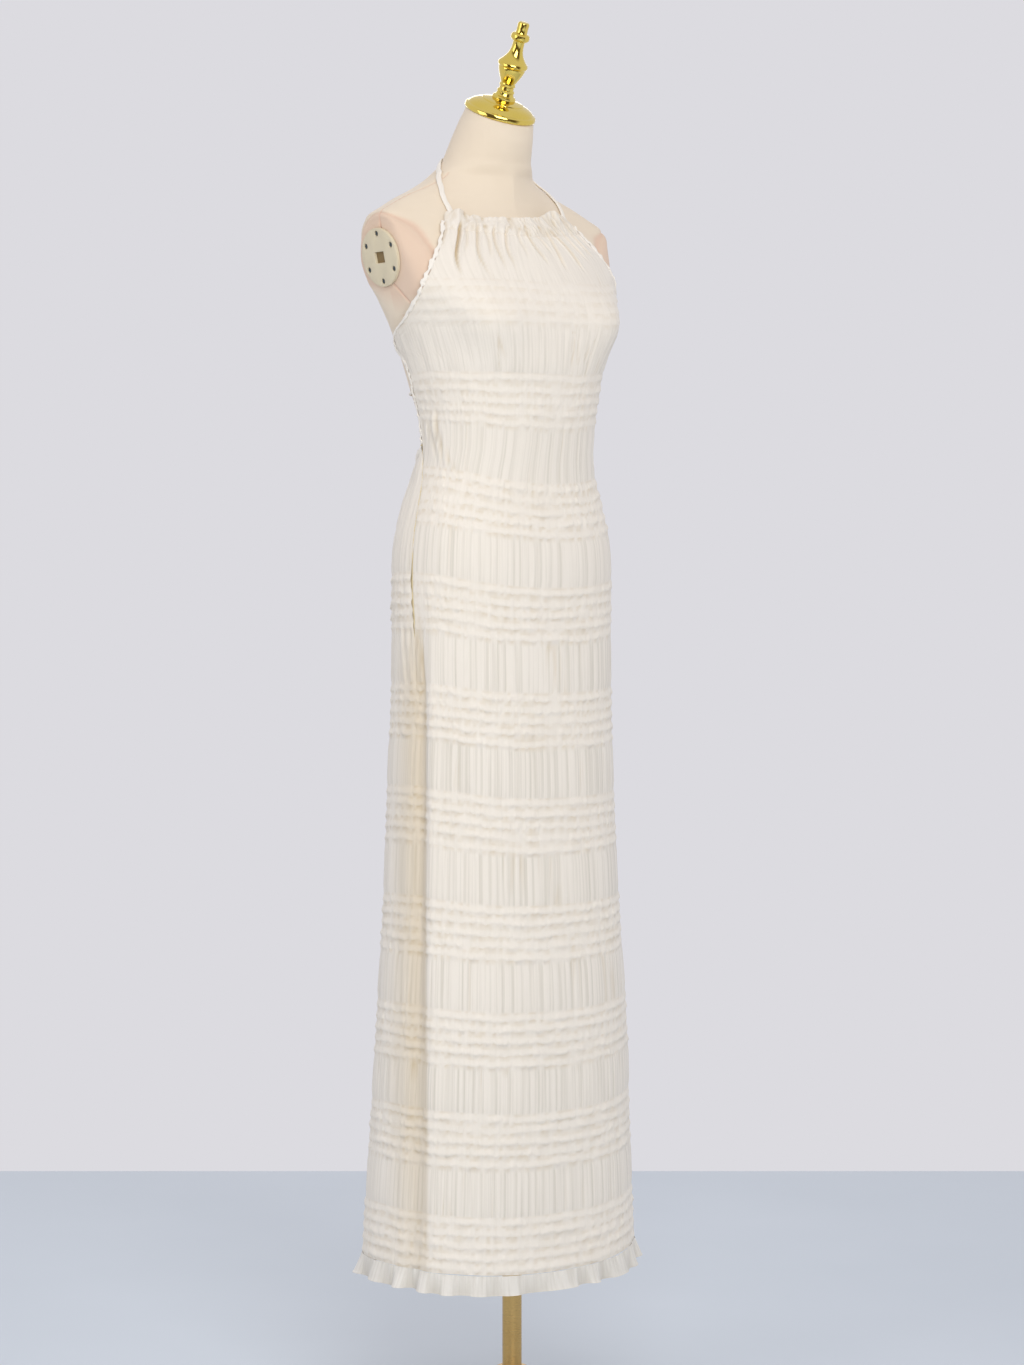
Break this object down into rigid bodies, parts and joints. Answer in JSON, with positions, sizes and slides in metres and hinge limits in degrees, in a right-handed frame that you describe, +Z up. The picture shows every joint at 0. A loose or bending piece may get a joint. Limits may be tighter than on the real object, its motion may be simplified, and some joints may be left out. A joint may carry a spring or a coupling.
{
  "type": "halter dress on a limbless dress form with a pole stand",
  "caption": "Long halter dress of gathered chiffon with bands of ruffled tucks, a gathered neck and an open back, on a limbless dress form with a turned finial and a round base.",
  "frame": {"origin": "centre of the base's flat underside, on the floor under the pole", "axes": "+Z up along the pole; the form and the dress face -Y; +X is the wearer's left"},
  "size_m": [0.3863, 0.3373, 1.779],
  "materials": {
    "chiffon": "crinkled ivory chiffon",
    "binding": "ivory chiffon, folded and stitched",
    "zip_tape": "woven tape in shade",
    "jersey": "stretched beige jersey",
    "plate": "matt cream",
    "gold": "polished gold plate",
    "brass": "satin antique brass"
  },
  "bodies": {
    "root": {"form_torso": "jersey", "arm_plate_right": "plate", "arm_plate_left": "plate", "neck_cap": "gold", "finial": "gold", "pole": "brass", "base": "brass", "front": "chiffon", "back": "chiffon", "back_binding": "binding", "hem_frill_front": "chiffon", "hem_frill_back": "chiffon", "neck_casing": "chiffon", "binding_right": "binding", "binding_left": "binding", "side_zip": "zip_tape", "halter_strap": "binding", "back_cord_upper": "binding", "back_cord_lower": "binding"}
  },
  "joints": []
}
